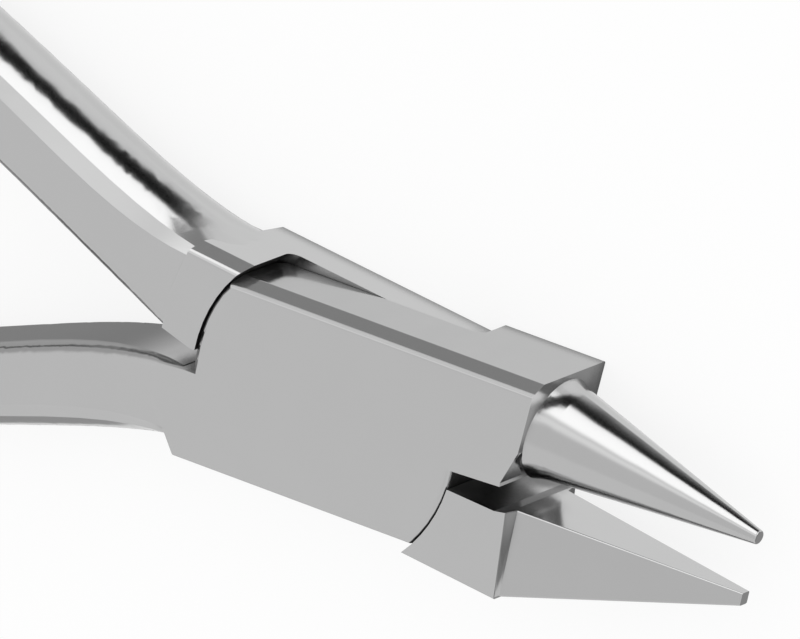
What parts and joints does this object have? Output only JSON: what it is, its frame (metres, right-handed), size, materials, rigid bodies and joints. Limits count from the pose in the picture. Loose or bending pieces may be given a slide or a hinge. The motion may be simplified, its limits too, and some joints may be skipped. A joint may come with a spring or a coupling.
{
  "type": "bird-beak wire-bending pliers",
  "caption": "Bird-beak pliers for bending fine orthodontic wire: a round cone beak against a four-sided pyramid beak, lapped at a flush rivet, with slim bowed handles",
  "frame": {"origin": "on the pivot axis, at the flat back face of the head, which the pliers lie on", "axes": "+X from the pivot to the beaks, +Y towards the cone beak and the pyramid half's handle, +Z along the pivot axis from the back face to the front face"},
  "size_m": [0.1285, 0.0441, 0.007],
  "materials": {
    "satin_steel": "satin-polished stainless steel, grey with no tint",
    "rivet_steel": "stainless steel ground flush with the head"
  },
  "bodies": {
    "cone_side": {"cone_beak_half": "satin_steel", "pivot_rivet": "rivet_steel"},
    "pyramid_side": {"pyramid_beak_half": "satin_steel"}
  },
  "joints": [
    {"name": "pivot", "type": "hinge", "parent": "cone_side", "child": "pyramid_side", "pos_m": [0, 0, 0.0035], "axis": [0, 0, -1], "range_deg": [-6.1, 83.9]}
  ]
}
